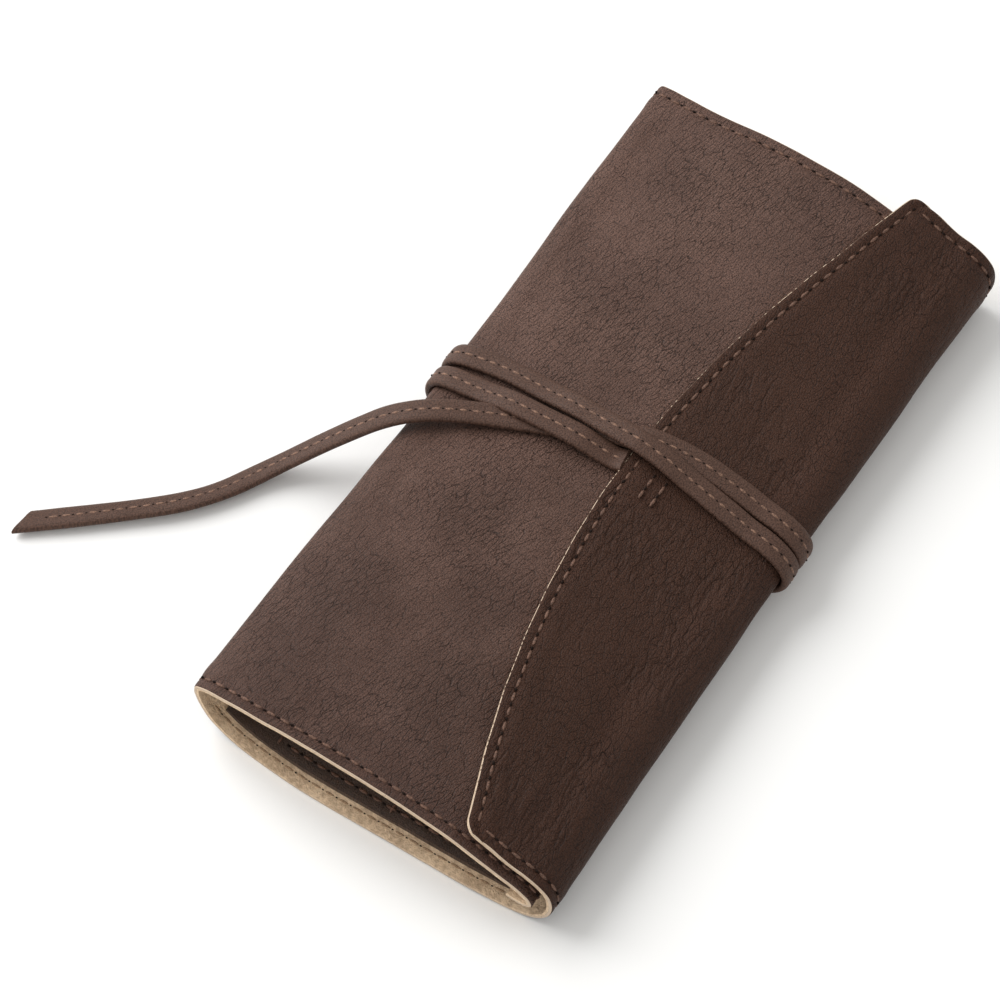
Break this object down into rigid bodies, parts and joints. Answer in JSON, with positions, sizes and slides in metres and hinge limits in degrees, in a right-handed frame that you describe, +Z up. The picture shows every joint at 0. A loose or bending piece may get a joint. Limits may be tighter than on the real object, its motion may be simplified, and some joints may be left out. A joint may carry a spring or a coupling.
{
  "type": "pencil case",
  "caption": "Roll-up leather pencil case with a suede lining and slotted pocket panel, a curved flap turned over the front, and a flat leather tie wound round it.",
  "frame": {"origin": "on the floor under the middle of the closed roll", "axes": "+X across the roll towards the fold that the flap turns round, +Y along the roll, +Z up"},
  "size_m": [0.1711, 0.195, 0.0289],
  "materials": {
    "cover_leather": "pebbled, matte dark brown",
    "suede_lining": "suede nap",
    "pocket_leather": "matte dark brown",
    "tie_leather": "smooth, matte brown",
    "thread": "waxed thread"
  },
  "bodies": {
    "back": {"back_cover": "cover_leather", "back_lining": "suede_lining", "pocket_panel": "pocket_leather", "pocket_stitches": "thread", "left_fold_cover": "cover_leather", "left_fold_lining": "suede_lining", "right_fold_cover": "cover_leather", "right_fold_lining": "suede_lining", "tie_turns": "tie_leather", "tie_tail": "tie_leather"},
    "front": {"front_cover": "cover_leather", "front_lining": "suede_lining", "front_stitches": "thread"},
    "flap": {"flap_cover": "cover_leather", "flap_lining": "suede_lining", "flap_stitches": "thread", "tie_tab": "tie_leather", "tab_stitches": "thread"}
  },
  "joints": [
    {"name": "flap_open", "type": "hinge", "parent": "back", "child": "flap", "pos_m": [0.039, 0, 0.01], "axis": [0, 1, 0], "range_deg": [0, 160], "deforming": ["right_fold_cover", "right_fold_lining", "tie_turns", "tie_tail"]},
    {"name": "front_lift", "type": "hinge", "parent": "back", "child": "front", "pos_m": [-0.046, 0, 0.0185], "axis": [0, -1, 0], "range_deg": [0, 8], "deforming": ["left_fold_cover", "left_fold_lining"]}
  ],
  "couplings": [
    {"joint": "front_lift", "follows": "flap_open", "ratio": 0.05}
  ]
}
